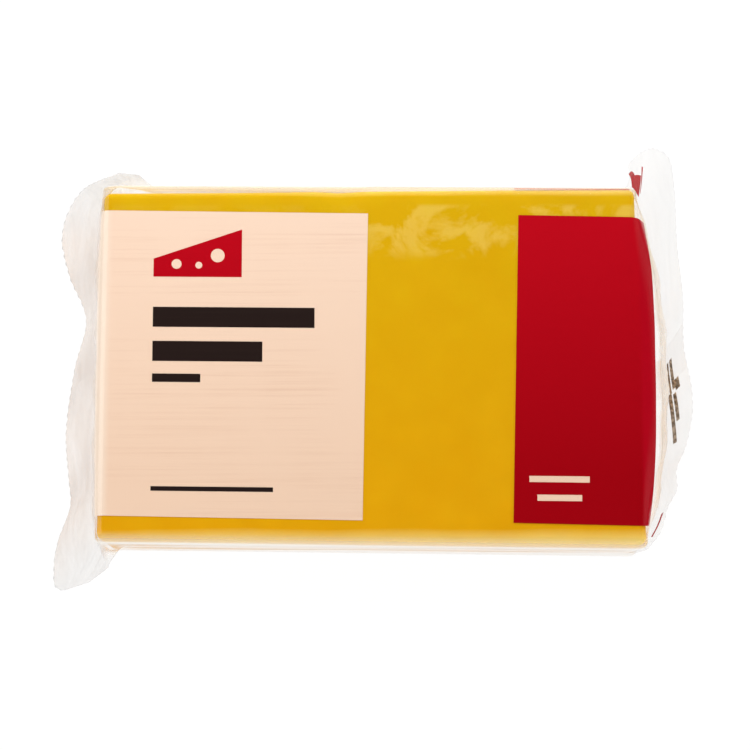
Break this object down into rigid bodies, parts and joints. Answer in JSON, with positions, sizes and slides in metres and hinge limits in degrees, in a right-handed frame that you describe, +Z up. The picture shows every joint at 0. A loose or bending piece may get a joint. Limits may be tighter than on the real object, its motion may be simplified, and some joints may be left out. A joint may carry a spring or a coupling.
{
  "type": "cheddar block in a sealed clear film pack",
  "caption": "Flat block of cheddar cheese sealed in clear film with printed cream and red panels and thin crimped fins at both ends; lies flat on its back.",
  "frame": {"origin": "centre of the flat back of the block, on the surface that the pack lies on", "axes": "+X along the block towards the red printed end, +Y across it, +Z up out of the printed front"},
  "size_m": [0.17, 0.1184, 0.0329],
  "materials": {
    "cheddar": "smooth moist cut cheese",
    "clear_film": "clear glossy packing film",
    "cream_print": "cream ink printed behind clear film",
    "red_print": "red ink printed behind clear film",
    "dark_print": "dark ink printed behind clear film"
  },
  "bodies": {
    "root": {"cheddar_pack": "cheddar"}
  },
  "joints": []
}
